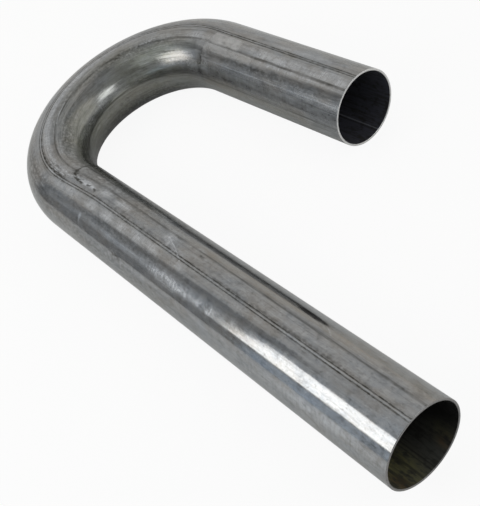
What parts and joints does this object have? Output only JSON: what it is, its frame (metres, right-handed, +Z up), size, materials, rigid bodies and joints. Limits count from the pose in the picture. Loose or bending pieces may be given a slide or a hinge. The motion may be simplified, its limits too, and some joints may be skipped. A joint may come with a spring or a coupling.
{
  "type": "return bend",
  "caption": "Round steel tube bent back on itself in a U, with unequal straight legs and plain open ends, for turning an exhaust or pipe run the other way.",
  "frame": {"origin": "centre of the long leg's open end", "axes": "+X out of the long leg's open end, +Z up from the plane of the bend, and the short leg on the +Y side"},
  "size_m": [0.52, 0.2605, 0.0634],
  "materials": {
    "raw_steel": "bare mill-finish steel tube, semi-bright with lengthwise streaks"
  },
  "bodies": {
    "root": {"bent_tube": "raw_steel"}
  },
  "joints": []
}
